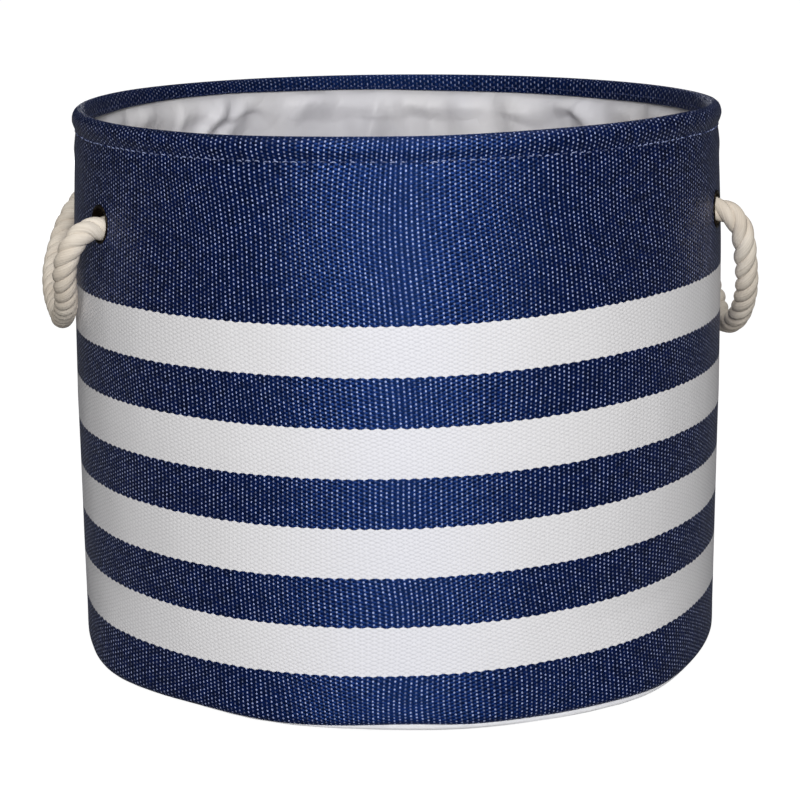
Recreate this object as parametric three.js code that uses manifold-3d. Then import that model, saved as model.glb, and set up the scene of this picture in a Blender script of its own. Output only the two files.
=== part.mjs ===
// Round storage basket of striped woven cloth with a lining and two rope handles.
//
// Millimetres, +Z up. The origin is the centre of the base, on the surface that the basket
// stands on. +X points at the right handle, -X at the left one, and -Y at the front.

import * as THREE from 'three';
import { mergeVertices } from 'three/addons/utils/BufferGeometryUtils.js';
import Module from 'manifold-3d';

// ---- Driving dimensions ------------------------------------------------------------------

const HEIGHT = 298;               // base to the top of the rim
const RIM_RADIUS = 175.3;         // outside of the hem, around the hoop
const GAP = 0.3;                  // between pieces that touch

// Outside of the wall as [radius, height], from above the base corner to the hem's stitches.
// The wall is upright over its lower half and draws in a little towards the rim.
const WALL_OUTLINE = [[179.5, 10], [179.5, 140], [177.6, 225], [174.9, 284]];

const CLOTH = 1.6;                // woven outer cloth
const INTERLINING = 1.2;          // stiff sheet between the cloth and the lining
const LINING = 0.6;
const CORNER_RADIUS = 8;          // outside corner between wall and base
const CORNER_SWEEP = 60;          // degrees of that corner that the wall covers

const HOOP_WIRE = 3;              // steel wire in the hem
const HEM_INSIDE = 286.5;         // height of the hem's lower edge inside the basket
const HEM_TUCK = 291.5;           // height where interlining and lining end inside the hem

const BASE_FLAT_RADIUS = 169;     // what touches the surface under the basket
const BASE_CLOTH = 1.6;
const BASE_FLANGE = { inner: 172.8, outer: 174, top: 10 };   // seam allowance, turned up
const BINDING = { inner: 172.6, outer: 174.2, bottom: 10.3, top: 12.5 };
const BOARD = { radius: 171.7, bottom: 1.9, thickness: 2.5 };
const FLOOR = { radius: 170.6, bottom: 4.7 };
const LINING_FOOT = { radius: 171.6, top: 14, joinsWall: 40 };

const EYELET_HEIGHT = 244;        // 54 mm below the rim
const EYELET_ANGLE = 24;          // degrees from the handle's middle to each eyelet
const EYELET_HOLE = 8.5;          // radii
const EYELET_BARREL = 9.2;
const EYELET_FLANGE = 10.4;
const EYELET_FLANGE_HEIGHT = 1.1;
const CLOTH_HOLE = 9.6;
const WASHER = { inner: 9.5, outer: 11, thickness: 0.9 };

const ROPE = 12.5;                // diameter of the twisted rope
const ROPE_SAG = 1.2;             // the rope lies this far below the middle of its eyelet
const KNOT = { depth: 15, width: 18, height: 17, standoff: -22.5 };
const TAIL_LENGTH = 36;           // loose rope end, from the knot's middle downwards
// Where a rope bends just outside an eyelet, and the clearance between its swinging part and
// the part that stays in the eyelet.
const HINGE = { standoff: 8, drop: 3, clearance: 0.8 };

// Route of each hanging rope, front eyelet to rear eyelet: [degrees from the handle's middle,
// distance outside the wall, drop below the eyelets]. The right rope hangs lower.
const LEFT_ROUTE = [
  [-24, HINGE.standoff, HINGE.drop], [-23.6, 13.2, 8], [-22.9, 16.2, 15.5],
  [-21.6, 16.4, 24.5], [-19.4, 13.6, 34.9], [-16.1, 10.6, 44.1], [-11.4, 8.4, 51.6],
  [-6.1, 7.7, 57.6], [-0.6, 7.7, 60.4], [4.7, 11.2, 58.8], [9.6, 16.2, 53], [14.2, 20.2, 43.4],
  [18.4, 21.8, 32.2], [21.5, 21.2, 21], [23, 17.6, 11.8], [23.7, 13.2, 6],
  [24, HINGE.standoff, HINGE.drop],
];
const RIGHT_ROUTE = [
  [-24, HINGE.standoff, HINGE.drop], [-23.6, 12, 8.5], [-22.9, 13.8, 16.5],
  [-21.2, 14.2, 27.4], [-18.4, 14.5, 40.8], [-14.3, 13.3, 54.4], [-9.4, 11.6, 66],
  [-4.4, 10.2, 73.2], [0.4, 10.1, 75.8], [5, 12, 74], [9.6, 15.6, 66.9], [14.4, 18, 54.6],
  [18.4, 18.4, 39.7], [21.3, 17.1, 26.4], [22.9, 14.9, 15.8], [23.6, 12.3, 8],
  [24, HINGE.standoff, HINGE.drop],
];

const SIDES = 60;                 // flats around the basket, one of them centred on +X
const EYELET_SIDES = 20;
const ROPE_SIDES = 8;
const ROPE_STEPS = 34;

// ---- Materials ---------------------------------------------------------------------------

const finish = (color, roughness, metalness = 0) => ({ color, roughness, metalness });
const NAVY_CLOTH = finish(0x16215a, 0.8);
const LINING_SATIN = finish(0xd4d3d6, 0.45);
const FELT = finish(0x8f8d88, 0.95);
const BASE_GREY = finish(0xd9d8da, 0.85);
const GREYBOARD = finish(0x8b8378, 0.9);
const TAPE = finish(0x2a2f45, 0.8);
const STEEL = finish(0xb4b6b8, 0.35, 1);
const ANTIQUE_BRASS = finish(0x5a4526, 0.4, 1);
const COTTON = finish(0xe0d5c2, 0.9);

// ---- Geometry helpers --------------------------------------------------------------------

const { Manifold, Mesh: ManifoldMesh } = await loadManifold();

async function loadManifold() {
  const wasm = await Module();
  wasm.setup();
  return wasm;
}

function toSolid(geometry) {
  const bare = geometry.clone();
  bare.deleteAttribute('normal');
  bare.deleteAttribute('uv');
  const merged = mergeVertices(bare);
  return new Manifold(new ManifoldMesh({
    numProp: 3,
    vertProperties: new Float32Array(merged.attributes.position.array),
    triVerts: new Uint32Array(merged.index.array),
  }));
}

function toGeometry(solid) {
  const { vertProperties, triVerts } = solid.getMesh();
  const geometry = new THREE.BufferGeometry();
  geometry.setAttribute('position', new THREE.BufferAttribute(vertProperties, 3));
  geometry.setIndex(new THREE.BufferAttribute(triVerts, 1));
  geometry.computeVertexNormals();
  return geometry;
}

const joined = (geometries) => toGeometry(geometries.map(toSolid).reduce((a, b) => a.add(b)));

const radians = THREE.MathUtils.degToRad;

// Revolves an outline of [radius, height] pairs, listed anticlockwise, about the Z axis.
function turned(outline, sides, startAngle) {
  const points = outline.map(([radius, height]) => new THREE.Vector2(radius, height));
  const onAxis = outline[0][0] === 0;
  if (!onAxis) points.push(points[0].clone());
  return new THREE.LatheGeometry(points, sides, startAngle).rotateX(Math.PI / 2);
}

// A piece that runs all round the basket, with a flat centred on +X.
const aroundBasket = (outline) => turned(outline, SIDES, Math.PI / SIDES);

// Points on a circular arc, angles in degrees.
function arc(centreRadius, centreHeight, radius, from, to, steps) {
  return Array.from({ length: steps + 1 }, (_, i) => {
    const angle = radians(from + ((to - from) * i) / steps);
    return [centreRadius + radius * Math.cos(angle), centreHeight + radius * Math.sin(angle)];
  });
}

// Outside radius of the wall at a height.
function wallRadius(height) {
  const above = WALL_OUTLINE.findIndex(([, z]) => z >= height);
  if (above === -1) return WALL_OUTLINE.at(-1)[0];
  if (above === 0) return WALL_OUTLINE[0][0];
  const [r0, z0] = WALL_OUTLINE[above - 1];
  const [r1, z1] = WALL_OUTLINE[above];
  return r0 + ((r1 - r0) * (height - z0)) / (z1 - z0);
}

// The wall's outline moved inwards, from one height up to another.
function wallLine(inset, bottom, top) {
  const between = WALL_OUTLINE.map(([, z]) => z).filter((z) => z > bottom && z < top);
  return [bottom, ...between, top].map((z) => [wallRadius(z) - inset, z]);
}

// A sheet that follows the inside of the wall.
function wallSheet(inset, thickness, bottom, top) {
  return aroundBasket([
    ...wallLine(inset, bottom, top),
    ...wallLine(inset + thickness, bottom, top).reverse(),
  ]);
}

// ---- Places of the eyelets and ropes -----------------------------------------------------

const EYELETS = [
  { name: 'left_front', azimuth: radians(180 + EYELET_ANGLE) },
  { name: 'left_rear', azimuth: radians(180 - EYELET_ANGLE) },
  { name: 'right_front', azimuth: radians(-EYELET_ANGLE) },
  { name: 'right_rear', azimuth: radians(EYELET_ANGLE) },
];

// The wall leans in at the eyelets' height, and they sit square to it.
const WALL_LEAN = Math.atan2(WALL_OUTLINE[2][0] - WALL_OUTLINE[3][0],
  WALL_OUTLINE[3][1] - WALL_OUTLINE[2][1]);

// Moves a piece built around +Z, with the wall's outside at z = 0, to an eyelet.
function eyeletMatrix({ azimuth }) {
  const flatRadius = wallRadius(EYELET_HEIGHT) * Math.cos(Math.PI / SIDES);
  const turn = new THREE.Euler(0, Math.PI / 2 - WALL_LEAN, azimuth, 'ZYX');
  const place = new THREE.Vector3(flatRadius, 0, EYELET_HEIGHT)
    .applyAxisAngle(new THREE.Vector3(0, 0, 1), azimuth);
  return new THREE.Matrix4().makeRotationFromEuler(turn).setPosition(place);
}

// A point near the wall: azimuth, distance outside the wall, drop below the eyelets.
function nearWall(azimuth, standoff, drop) {
  const height = EYELET_HEIGHT - drop;
  const radius = wallRadius(height) + standoff;
  return new THREE.Vector3(radius * Math.cos(azimuth), radius * Math.sin(azimuth), height);
}

// ---- Cloth parts -------------------------------------------------------------------------

function withEyeletHoles(geometry) {
  const cutter = new THREE.CylinderGeometry(CLOTH_HOLE, CLOTH_HOLE, 30, EYELET_SIDES)
    .rotateX(Math.PI / 2);
  const holes = EYELETS.map((eyelet) => toSolid(cutter.clone().applyMatrix4(eyeletMatrix(eyelet))));
  return toGeometry(holes.reduce((wall, hole) => wall.subtract(hole), toSolid(geometry)));
}

const HOOP_RADIUS = RIM_RADIUS - CLOTH - GAP - HOOP_WIRE / 2;
const HOOP_HEIGHT = HEIGHT - CLOTH - GAP - HOOP_WIRE / 2;

// One sheet of cloth: it turns under at the base, goes up the wall and over the hoop, and
// comes down inside as the hem.
function outerWall() {
  const innerBend = HOOP_WIRE / 2 + GAP;
  const outerBend = innerBend + CLOTH;
  const [cornerRadius, cornerHeight] = [WALL_OUTLINE[0][0] - CORNER_RADIUS, WALL_OUTLINE[0][1]];
  const stitchHeight = WALL_OUTLINE.at(-1)[1];
  const corner = (radius, from, to) => arc(cornerRadius, cornerHeight, radius, from, to, 2);
  const bend = (radius, from, to) => arc(HOOP_RADIUS, HOOP_HEIGHT, radius, from, to, 4);
  return withEyeletHoles(aroundBasket([
    ...corner(CORNER_RADIUS, -CORNER_SWEEP, 0),
    ...wallLine(0, cornerHeight, stitchHeight).slice(1),
    ...bend(outerBend, 0, 180),
    [HOOP_RADIUS - outerBend, HEM_INSIDE],
    [HOOP_RADIUS - innerBend, HEM_INSIDE],
    ...bend(innerBend, 180, 0),
    ...wallLine(CLOTH, cornerHeight, stitchHeight).slice(1).reverse(),
    ...corner(CORNER_RADIUS - CLOTH, 0, -CORNER_SWEEP),
  ]));
}

const rimHoop = () => new THREE.TorusGeometry(HOOP_RADIUS, HOOP_WIRE / 2, 8, SIDES)
  .rotateZ(Math.PI / SIDES)
  .translate(0, 0, HOOP_HEIGHT);

const INTERLINING_INSET = CLOTH + GAP;
const LINING_INSET = INTERLINING_INSET + INTERLINING + GAP;

const wallInterlining = () => withEyeletHoles(
  wallSheet(INTERLINING_INSET, INTERLINING, BINDING.top - 0.5, HEM_TUCK));

// The lining hangs inside the wall and draws in at its foot to meet the floor.
function liningWall() {
  const foot = LINING_FOOT.radius;
  return withEyeletHoles(aroundBasket([
    [foot - LINING, FLOOR.bottom],
    [foot, FLOOR.bottom],
    [foot, LINING_FOOT.top],
    ...wallLine(LINING_INSET, LINING_FOOT.joinsWall, HEM_TUCK),
    ...wallLine(LINING_INSET + LINING, LINING_FOOT.joinsWall, HEM_TUCK).reverse(),
    [foot - LINING, LINING_FOOT.top],
  ]));
}

// ---- Base --------------------------------------------------------------------------------

const disc = (radius, bottom, thickness) => aroundBasket([
  [0, bottom], [radius, bottom], [radius, bottom + thickness], [0, bottom + thickness],
]);

// Base cloth, flat underneath. Its edge rounds up to the wall and is turned up inside it.
const basePanel = () => aroundBasket([
  [0, 0],
  [BASE_FLAT_RADIUS, 0],
  [172.6, 0.7],
  [174.3, 2.2],
  [BASE_FLANGE.outer, 3.2],
  [BASE_FLANGE.outer, BASE_FLANGE.top],
  [BASE_FLANGE.inner, BASE_FLANGE.top],
  [BASE_FLANGE.inner - 0.4, BASE_CLOTH + 1],
  [171.9, BASE_CLOTH],
  [0, BASE_CLOTH],
]);

const baseSeamBinding = () => aroundBasket([
  [BINDING.inner, BINDING.bottom], [BINDING.outer, BINDING.bottom],
  [BINDING.outer, BINDING.top], [BINDING.inner, BINDING.top],
]);

// ---- Eyelets -----------------------------------------------------------------------------

const WALL_DEPTH = LINING_INSET + LINING;          // outside of the cloth to inside of the lining
const WASHER_FACE = -(WALL_DEPTH + GAP);
const LIP_FACE = WASHER_FACE - WASHER.thickness - GAP;

// Flange, barrel and the lip that is rolled over the washer, as one pressing.
const eyelet = () => turned([
  [EYELET_HOLE, LIP_FACE - 0.6],
  [EYELET_FLANGE - 0.6, LIP_FACE - 0.9],
  [EYELET_FLANGE, LIP_FACE - 0.3],
  [EYELET_FLANGE - 0.2, LIP_FACE],
  [EYELET_BARREL, LIP_FACE],
  [EYELET_BARREL, GAP],
  [EYELET_FLANGE, GAP],
  [EYELET_FLANGE - 0.2, GAP + EYELET_FLANGE_HEIGHT * 0.6],
  [EYELET_BARREL + 0.2, GAP + EYELET_FLANGE_HEIGHT],
  [EYELET_HOLE, GAP + EYELET_FLANGE_HEIGHT * 0.7],
], EYELET_SIDES, 0);

const washer = () => turned([
  [WASHER.inner, WASHER_FACE - WASHER.thickness],
  [WASHER.outer, WASHER_FACE - WASHER.thickness],
  [WASHER.outer, WASHER_FACE],
  [WASHER.inner, WASHER_FACE],
], EYELET_SIDES, 0);

// ---- Ropes -------------------------------------------------------------------------------

function tube(curve, steps) {
  const corners = Array.from({ length: ROPE_SIDES }, (_, i) => {
    const angle = (2 * Math.PI * i) / ROPE_SIDES;
    return new THREE.Vector2(Math.cos(angle), Math.sin(angle)).multiplyScalar(ROPE / 2);
  });
  return new THREE.ExtrudeGeometry(new THREE.Shape(corners), { steps, extrudePath: curve });
}

const ball = (centre) => new THREE.SphereGeometry(ROPE / 2, 8, 6)
  .translate(centre.x, centre.y, centre.z);

// The part of a rope outside the wall, rounded at both ends about the line it swings on.
function hangingRope(route, side) {
  const points = route.map(([angle, standoff, drop]) => {
    const point = nearWall(radians(angle), standoff, drop);
    point.x *= side;
    return point;
  });
  const curve = new THREE.CatmullRomCurve3(points, false, 'centripetal');
  return joined([tube(curve, ROPE_STEPS), ball(points[0]), ball(points.at(-1))]);
}

// The part of a rope that stays put: its run through the eyelet, the stopper knot inside the
// basket and the tail that hangs from the knot.
function ropeEnd({ azimuth }) {
  const knotCentre = nearWall(azimuth, KNOT.standoff, ROPE_SAG);
  const mouth = nearWall(azimuth, HINGE.standoff - ROPE / 2 - HINGE.clearance, ROPE_SAG);
  mouth.z = knotCentre.z;
  const tailEnd = knotCentre.clone().add(new THREE.Vector3(0, 0, -TAIL_LENGTH));
  const knot = new THREE.SphereGeometry(1, 12, 8)
    .scale(KNOT.depth, KNOT.width, KNOT.height)
    .rotateZ(azimuth)
    .translate(knotCentre.x, knotCentre.y, knotCentre.z);
  return joined([
    knot,
    tube(new THREE.LineCurve3(knotCentre, mouth), 1),
    tube(new THREE.LineCurve3(knotCentre, tailEnd), 1),
  ]);
}

// ---- Assembly ----------------------------------------------------------------------------

const basket = new THREE.Group();

function addPiece(name, geometry, material) {
  const mesh = new THREE.Mesh(geometry, new THREE.MeshStandardMaterial(material));
  mesh.name = name;
  basket.add(mesh);
  return mesh;
}

addPiece('outer_wall', outerWall(), NAVY_CLOTH);
addPiece('rim_hoop', rimHoop(), STEEL);
addPiece('wall_interlining', wallInterlining(), FELT);
addPiece('lining_wall', liningWall(), LINING_SATIN);
addPiece('lining_floor', disc(FLOOR.radius, FLOOR.bottom, LINING), LINING_SATIN);
addPiece('base_board', disc(BOARD.radius, BOARD.bottom, BOARD.thickness), GREYBOARD);
addPiece('base_panel', basePanel(), BASE_GREY);
addPiece('base_seam_binding', baseSeamBinding(), TAPE);

for (const place of EYELETS) {
  addPiece(`${place.name}_eyelet`, eyelet(), ANTIQUE_BRASS).applyMatrix4(eyeletMatrix(place));
  addPiece(`${place.name}_eyelet_washer`, washer(), ANTIQUE_BRASS)
    .applyMatrix4(eyeletMatrix(place));
  addPiece(`${place.name}_rope_end`, ropeEnd(place), COTTON);
}

addPiece('left_handle_rope', hangingRope(LEFT_ROUTE, -1), COTTON);
addPiece('right_handle_rope', hangingRope(RIGHT_ROUTE, 1), COTTON);

export default basket;
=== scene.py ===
"""Looks of a round fabric storage basket: striped woven cloth, lining and two rope handles.

Metres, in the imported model's frame: +Z up, +X at the right handle, -Y at the front.
"""

import math

import bpy
import numpy as np
from mathutils import Matrix, Vector


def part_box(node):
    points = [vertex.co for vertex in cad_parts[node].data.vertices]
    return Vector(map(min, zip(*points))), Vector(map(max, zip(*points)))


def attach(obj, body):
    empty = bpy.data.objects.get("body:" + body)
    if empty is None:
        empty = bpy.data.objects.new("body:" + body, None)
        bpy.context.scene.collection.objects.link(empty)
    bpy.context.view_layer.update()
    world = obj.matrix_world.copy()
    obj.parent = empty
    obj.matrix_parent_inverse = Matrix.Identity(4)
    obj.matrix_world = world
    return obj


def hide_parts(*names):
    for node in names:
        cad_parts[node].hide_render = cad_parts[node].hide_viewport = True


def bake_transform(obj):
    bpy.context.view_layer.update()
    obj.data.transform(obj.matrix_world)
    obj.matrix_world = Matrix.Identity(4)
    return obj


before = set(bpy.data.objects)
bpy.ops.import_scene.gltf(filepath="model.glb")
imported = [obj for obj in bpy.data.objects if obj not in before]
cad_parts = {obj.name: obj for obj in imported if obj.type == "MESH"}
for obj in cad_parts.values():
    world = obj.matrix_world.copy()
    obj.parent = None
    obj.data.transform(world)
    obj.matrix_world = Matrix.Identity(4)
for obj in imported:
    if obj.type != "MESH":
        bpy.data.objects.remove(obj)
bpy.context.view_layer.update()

# ---- Sizes -----------------------------------------------------------

SIDES = 60  # flats around the CAD basket, one centred on +X
WALL_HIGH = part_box("outer_wall")[1]
RIM_TOP = WALL_HIGH.z
WALL_RADIUS = WALL_HIGH.x / math.cos(math.pi / SIDES)
EYELET_HEIGHT = 0.244
EYELET_ANGLE = 24  # degrees from a handle's middle

# Outside of the wall as (radius, height), as in the CAD model.
WALL_OUTLINE = ((WALL_RADIUS, 0.010), (WALL_RADIUS, 0.140), (0.1776, 0.225), (0.1749, 0.284))

CORNER_RADIUS = 0.0048  # outside corner between wall and base
# The hem, from below its pinched stitch line, over the hoop and down to its edge inside.
HEM_OUTLINE = (
    (0.17565, 0.2760), (0.1750, 0.2815), (0.17445, 0.2848), (0.17435, 0.2862), (0.1750, 0.2882),
    (0.1761, 0.2915), (0.1758, 0.2945), (0.1745, 0.2969), (0.1724, 0.2980), (0.1702, 0.2974),
    (0.1687, 0.2955), (0.1682, 0.2930), (0.1681, 0.2912), (0.1682, 0.2904), (0.1686, 0.2901),
    (0.1690, 0.2905), (0.1691, 0.2920),
)
STITCH_LINE = 0.2856
HEM_EDGE = 0.2901  # lower edge of the hem inside
CORNER_TOP = 0.0068  # height where the wall's rounded corner ends
CORNER_LOW = CORNER_TOP - CORNER_RADIUS
# Hand-sewn unevenness, each as (azimuth in degrees, metres), all around from -180 to 180.
RIM_DROPS = ((-180, 0.0012), (-160, 0.0020), (-128, 0.0024), (-105, 0.0015), (-90, 0.0013),
             (-74, 0.0002), (-60, -0.0004), (-42, -0.0011), (-25, -0.0006), (0, 0.0), (150, 0.0),
             (180, 0.0012))
HEM_DROPS = ((-180, 0.0020), (-20, 0.0025), (35, 0.0034), (52, 0.0027), (74, 0.0024),
             (88, 0.0013), (106, 0.0011), (121, 0.0003), (136, 0.0008), (160, 0.0026),
             (180, 0.0020))
FOOT_HEIGHTS = ((-180, 0.0006), (-150, 0.0006), (-136, 0.0003), (-124, 0.0006), (-113, 0.0008),
                (-106, 0.0022), (-99, 0.0032), (-94, 0.0034), (-86, 0.0026), (-76, 0.0027),
                (-66, 0.0032), (-55, 0.0030), (-46, 0.0014), (-38, 0.0007), (180, 0.0006))
EDGE_LIFTS = ((-180, 0.0), (-151, 0.0), (-141, 0.0011), (-133, 0.0025), (-121, 0.0012),
              (-113, 0.0015), (-98, 0.0020), (-86, 0.0009), (-76, 0.0004), (-70, 0.0), (20, 0.0),
              (70, 0.0012), (110, 0.0), (150, 0.0014), (180, 0.0))

# ---- Places ----------------------------------------------------------

SPLINE_STEPS = 40  # points between two of a curve's own points


def wall_radius(height):
    """Outside radius of the wall at a height, as in the CAD model."""
    radii, heights = zip(*WALL_OUTLINE)
    return float(np.interp(height, heights, radii))


def wrapped(angle):
    """An angle in radians as -pi to pi."""
    return (angle + math.pi) % (2 * math.pi) - math.pi


def uneven(places, azimuth):
    """Smooth value at an azimuth in radians, from (degrees, metres) places."""
    degrees = np.degrees(wrapped(azimuth))
    azimuths, values = zip(*places)
    total = 0.0
    for shift, weight in ((-4, 0.25), (0, 0.5), (4, 0.25)):
        total = total + weight * np.interp(degrees + shift, azimuths, values)
    return total


def rim_drop(azimuth, height):
    """How far the uneven rim pulls the wall down at a height."""
    return uneven(RIM_DROPS, azimuth) * np.clip(height / RIM_TOP, 0, 1) ** 5


def near_wall(side, angle, standoff, drop):
    """A point near the wall: degrees from the handle's middle, outwards, below the eyelets."""
    height = EYELET_HEIGHT - drop
    radius = wall_radius(height) + standoff
    azimuth = math.radians(angle)
    return Vector((side * radius * math.cos(azimuth), radius * math.sin(azimuth), height))


def distances(points):
    """Distance of each point from the first, along the line through them all."""
    return np.concatenate([[0], np.cumsum(np.linalg.norm(np.diff(points, axis=0), axis=1))])


def between(t, start, end, a, b):
    """From a at start to b at end in a straight line."""
    return (end - t) / (end - start) * a + (t - start) / (end - start) * b


def catmull_rom(points, spacing):
    """Evenly spaced points on the centripetal Catmull-Rom curve through points."""
    p = np.array([tuple(q) for q in points], float)
    p = np.vstack([2 * p[0] - p[1], p, 2 * p[-1] - p[-2]])
    knots = np.concatenate([[0], np.cumsum(np.linalg.norm(np.diff(p, axis=0), axis=1) ** 0.5)])
    fine = []
    for i in range(1, len(p) - 2):
        k0, k1, k2, k3 = knots[i - 1:i + 3]
        t = np.linspace(k1, k2, SPLINE_STEPS, endpoint=False)[:, None]
        a1 = between(t, k0, k1, p[i - 1], p[i])
        a2 = between(t, k1, k2, p[i], p[i + 1])
        a3 = between(t, k2, k3, p[i + 1], p[i + 2])
        b1, b2 = between(t, k0, k2, a1, a2), between(t, k1, k3, a2, a3)
        fine.append(between(t, k1, k2, b1, b2))
    fine = np.vstack([*fine, p[-2]])
    along = distances(fine)
    steps = max(2, round(along[-1] / spacing))
    wanted = np.linspace(0, along[-1], steps + 1)
    return np.stack([np.interp(wanted, along, fine[:, k]) for k in range(fine.shape[1])], 1)


def add_object(name, data):
    made = bpy.data.objects.new(name, data)
    bpy.context.scene.collection.objects.link(made)
    return made


# ---- Camera ----------------------------------------------------------

CAMERA_DISTANCE, CAMERA_HEIGHT = 1.108, 0.399
CAMERA_ANGLES = (6.8, 13.725, 0.04, -0.41)  # azimuth, pitch, yaw and roll in degrees
CAMERA_LENS = 90.36


def add_camera():
    azimuth, pitch, yaw, roll = map(math.radians, CAMERA_ANGLES)
    heading = azimuth + yaw
    forward = Vector((
        math.sin(heading) * math.cos(pitch), math.cos(heading) * math.cos(pitch), -math.sin(pitch),
    ))
    level = Vector((math.cos(heading), -math.sin(heading), 0))
    upright = level.cross(forward)
    right = level * math.cos(roll) + upright * math.sin(roll)
    up = right.cross(forward)
    data = bpy.data.cameras.new("camera")
    data.lens, data.sensor_width = CAMERA_LENS, 36
    camera = add_object("camera", data)
    camera.matrix_world = Matrix((right, up, -forward)).transposed().to_4x4()
    camera.location = (
        -CAMERA_DISTANCE * math.sin(azimuth), -CAMERA_DISTANCE * math.cos(azimuth), CAMERA_HEIGHT,
    )
    bpy.context.scene.camera = camera


add_camera()

# ---- Meshes ----------------------------------------------------------


def add_mesh(name, points, faces, material, uv=None):
    """A smooth mesh piece without loose vertices. uv holds a pair of numbers per face corner."""
    used, faces = np.unique(faces, return_inverse=True)
    faces = faces.reshape(-1, 4)
    mesh = bpy.data.meshes.new(name)
    mesh.from_pydata(np.asarray(points)[used].tolist(), [], faces.tolist())
    if uv is not None:
        mesh.uv_layers.new(name="cloth").data.foreach_set("uv", uv.astype(np.float32).ravel())
    mesh.shade_smooth()
    mesh.materials.append(material)
    piece = add_object(name, mesh)
    return piece


def grid_faces(rows, columns, closed=True):
    """Faces of a grid, and their corners in a grid whose closing column is counted twice."""
    across = columns if closed else columns - 1
    i, j = np.meshgrid(np.arange(rows - 1), np.arange(across), indexing="ij")
    corners = ((i, j), (i, j + 1), (i + 1, j + 1), (i + 1, j))
    faces = np.stack([a * columns + b % columns for a, b in corners], -1).reshape(-1, 4)
    unrolled = np.stack([a * (columns + 1) + b for a, b in corners], -1).reshape(-1, 4)
    return faces, unrolled


def turns(count):
    """Azimuths of evenly spaced columns, starting at the back seam."""
    return math.pi / 2 + np.arange(count) * 2 * math.pi / count


def ring_points(radius, azimuth, height):
    return np.stack([radius * np.cos(azimuth), radius * np.sin(azimuth), height + 0 * azimuth], -1)


class Wave:
    """A smooth random function of the azimuth, from a few seeded waves, about -1 to 1."""

    def __init__(self, seed, lowest, highest, drift=0.0):
        random = np.random.default_rng(seed)
        self.counts = np.arange(lowest, highest + 1)
        self.phases = random.uniform(0, 2 * math.pi, len(self.counts))
        self.sizes = random.uniform(0.5, 1, len(self.counts))
        self.sizes /= np.sqrt((self.sizes ** 2).sum() / 2)
        self.drifts = random.uniform(-drift, drift, len(self.counts))

    def __call__(self, azimuth, height=0.0):
        total = 0.0
        for count, phase, size, drift in zip(self.counts, self.phases, self.sizes, self.drifts):
            total = total + size * np.cos(count * azimuth + phase + drift * height)
        return total / 2


# ---- Material helpers ------------------------------------------------


class Nodes:
    """A material with a Principled shader, and short calls for its nodes."""

    def __init__(self, name, **settings):
        self.material = bpy.data.materials.new(name)
        self.material.use_nodes = True
        self.tree = self.material.node_tree
        self.shader = self.tree.nodes["Principled BSDF"]
        for socket, value in settings.items():
            self.shader.inputs[socket.replace("_", " ")].default_value = value

    def node(self, kind, inputs=(), **options):
        made = self.tree.nodes.new(kind)
        for option, value in options.items():
            setattr(made, option, value)
        for socket, value in dict(inputs).items():
            self.connect(made.inputs[socket], value)
        return made

    def connect(self, socket, value):
        if isinstance(value, bpy.types.NodeSocket):
            self.tree.links.new(value, socket)
        else:
            socket.default_value = value

    def math(self, operation, a, b=0.0, c=0.0):
        return self.node("ShaderNodeMath", {0: a, 1: b, 2: c}, operation=operation).outputs[0]

    def times(self, a, b):
        return self.math("MULTIPLY", a, b)

    def plus(self, a, b):
        return self.math("ADD", a, b)

    def minus(self, a, b):
        return self.math("SUBTRACT", a, b)

    def scaled(self, value, factor, start):
        return self.math("MULTIPLY_ADD", value, factor, start)

    def mix(self, amount, a, b):
        inputs = {"Factor": amount, 6: a, 7: b}
        return self.node("ShaderNodeMix", inputs, data_type="RGBA").outputs[2]

    def step(self, value, low, high, start=0.0, end=1.0):
        inputs = {"Value": value, "From Min": low, "From Max": high, "To Min": start, "To Max": end}
        return self.node("ShaderNodeMapRange", inputs, interpolation_type="SMOOTHSTEP").outputs[0]

    def noise(self, vector, scale, detail=2.0):
        inputs = {"Vector": vector, "Scale": scale, "Detail": detail}
        return self.node("ShaderNodeTexNoise", inputs).outputs["Fac"]

    def combine(self, x, y, z=0.0):
        return self.node("ShaderNodeCombineXYZ", {0: x, 1: y, 2: z}).outputs[0]

    def drawn_noise(self, u, across, v, along, detail=2.0):
        """Noise over two numbers, each multiplied by its own factor."""
        place = self.combine(self.times(u, across), self.times(v, along))
        return self.noise(place, 1.0, detail)

    def place(self):
        return self.node("ShaderNodeTexCoord").outputs["Object"]

    def cloth(self):
        """The two numbers of the mesh's own cloth coordinates."""
        uv = self.node("ShaderNodeUVMap", uv_map="cloth").outputs[0]
        return self.node("ShaderNodeSeparateXYZ", {0: uv}).outputs[:2]

    def bump(self, height, distance, strength=1.0):
        inputs = {"Height": height, "Distance": distance, "Strength": strength}
        self.connect(self.shader.inputs["Normal"], self.node("ShaderNodeBump", inputs).outputs[0])

    def set(self, **sockets):
        for socket, value in sockets.items():
            self.connect(self.shader.inputs[socket.replace("_", " ")], value)
        return self.material


# ---- Woven cloth -----------------------------------------------------

WARPS = 436  # fine warp threads around the basket
WARP_WANDER, WARP_LEAN = 7.0, 16.0  # warp threads sideways, at most and per metre up
PICKS_IN_BAND = 24
PICK = 0.0253 / PICKS_IN_BAND  # height of one weft pick
PICK_UNEVENNESS = 0.9  # in picks
BANDS = 4
BAND_TOP = 0.209  # upper edge of the highest white band at the front
DOT_WIDTH, DOT_HEIGHT = 0.19, 0.52  # of a warp dot, in threads and in picks
WEAVE_DEPTH = 0.00034
# The cloth is sewn a little askew: its bands rise towards this azimuth, in metres.
SLANT_AZIMUTH, SLANT = math.radians(-6.8), 0.0034

NAVY, NAVY_LIGHT = (0.0001, 0.0009, 0.010, 1), (0.0009, 0.0068, 0.060, 1)
WHITE, WARP_THREAD = (0.835, 0.822, 0.822, 1), (0.41, 0.47, 0.74, 1)
GLOSS = (0.09, 0.26, 1.0, 1)  # the yarn shines blue


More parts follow.
